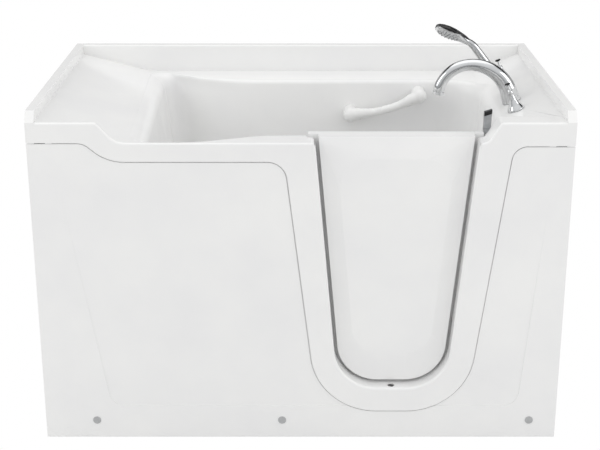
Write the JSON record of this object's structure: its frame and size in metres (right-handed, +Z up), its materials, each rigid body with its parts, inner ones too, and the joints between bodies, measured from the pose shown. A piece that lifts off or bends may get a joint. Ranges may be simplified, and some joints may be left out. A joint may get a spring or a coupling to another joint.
{
  "type": "walk-in soaking bathtub",
  "caption": "White alcove bathtub with an inward-swinging U-shaped door, raised seat, footwell, removable front apron, grab bar, arched deck spout, bar handles and hand shower.",
  "frame": {"origin": "on the floor, under the middle of the tub's outline", "axes": "+X to the right of someone facing the door, along the tub's length; +Y from the door side to the back wall; +Z up"},
  "size_m": [1.524, 0.914, 1.1628],
  "materials": {
    "acrylic": "glossy moulded acrylic",
    "cap_grey": "satin",
    "frame_paint": "satin powder coat",
    "board": "raw plywood",
    "plated_steel": "zinc plated",
    "pad_rubber": "matte",
    "seal_rubber": "matte",
    "stainless": "satin",
    "chrome": "polished",
    "pipe_white": "satin",
    "grab_bar_white": "glossy",
    "brass": "plain",
    "shower_black": "glossy",
    "shower_grey": "satin",
    "nozzle_rubber": "matte"
  },
  "bodies": {
    "tub": {"apron_screw_caps": "cap_grey", "apron_screws": "plated_steel", "deck_gaskets": "seal_rubber", "deck_nuts": "brass", "drain_body": "pipe_white", "drain_flange": "chrome", "drain_gasket": "seal_rubber", "floor_bearers": "board", "foot_nuts": "plated_steel", "foot_pads": "pad_rubber", "foot_studs": "plated_steel", "frame_back_rail": "frame_paint", "frame_back_top_rail": "frame_paint", "frame_corner_posts": "frame_paint", "frame_cross_members": "frame_paint", "frame_front_rail": "frame_paint", "frame_seat_posts": "frame_paint", "front_apron": "acrylic", "front_handle_bell": "chrome", "front_supply_tail": "brass", "front_valve_body": "brass", "grab_bar": "grab_bar_white", "grab_bar_nuts": "plated_steel", "grab_bar_studs": "plated_steel", "grab_bar_washers": "plated_steel", "hinge_pins": "stainless", "hinge_wall_leaves": "stainless", "latch_base": "chrome", "latch_pin": "chrome", "mixed_water_pipes": "brass", "overflow_elbow": "pipe_white", "overflow_gasket": "seal_rubber", "overflow_pipe": "pipe_white", "overflow_plate": "chrome", "rear_handle_bell": "chrome", "rear_supply_tail": "brass", "rear_valve_body": "brass", "seat_board": "board", "shower_holder": "chrome", "shower_shank": "brass", "spout": "chrome", "spout_outlet_ring": "chrome", "spout_shank": "brass", "tub_shell": "acrylic", "wall_screws": "plated_steel", "waste_pipe": "pipe_white", "waste_tee": "pipe_white"},
    "door": {"door_outer_panel": "acrylic", "door_inner_panel": "acrylic", "door_seal": "seal_rubber", "hinge_door_leaves": "stainless", "hinge_door_screws": "plated_steel"},
    "latch": {"latch_lever": "chrome"},
    "front_handle": {"front_handle": "chrome"},
    "rear_handle": {"rear_handle": "chrome"},
    "shower": {"shower_body": "chrome", "shower_back_cover": "shower_black", "shower_face": "shower_grey", "shower_nozzles": "nozzle_rubber"},
    "stopper": {"drain_stopper": "chrome"}
  },
  "joints": [
    {"name": "door_hinge", "type": "hinge", "parent": "tub", "child": "door", "pos_m": [0.01, -0.362, 0.645], "axis": [0, 0, 1], "range_deg": [0, 90]},
    {"name": "latch_turn", "type": "hinge", "parent": "tub", "child": "latch", "pos_m": [0.5265, -0.355, 0.893], "axis": [0, -1, 0], "range_deg": [0, 90]},
    {"name": "front_handle_turn", "type": "hinge", "parent": "tub", "child": "front_handle", "pos_m": [0.6395, -0.171, 0.9428], "axis": [-0.3565, 0, 0.9343], "range_deg": [0, 90]},
    {"name": "rear_handle_turn", "type": "hinge", "parent": "tub", "child": "rear_handle", "pos_m": [0.653, 0.126, 0.94795], "axis": [-0.3565, 0, 0.9343], "range_deg": [-90, 0]},
    {"name": "shower_lift", "type": "slide", "parent": "tub", "child": "shower", "axis": [-0.6086, 0, 0.7935], "range_m": [0, 0.06]},
    {"name": "stopper_lift", "type": "slide", "parent": "tub", "child": "stopper", "axis": [0, 0, 1], "range_m": [0, 0.01]}
  ]
}
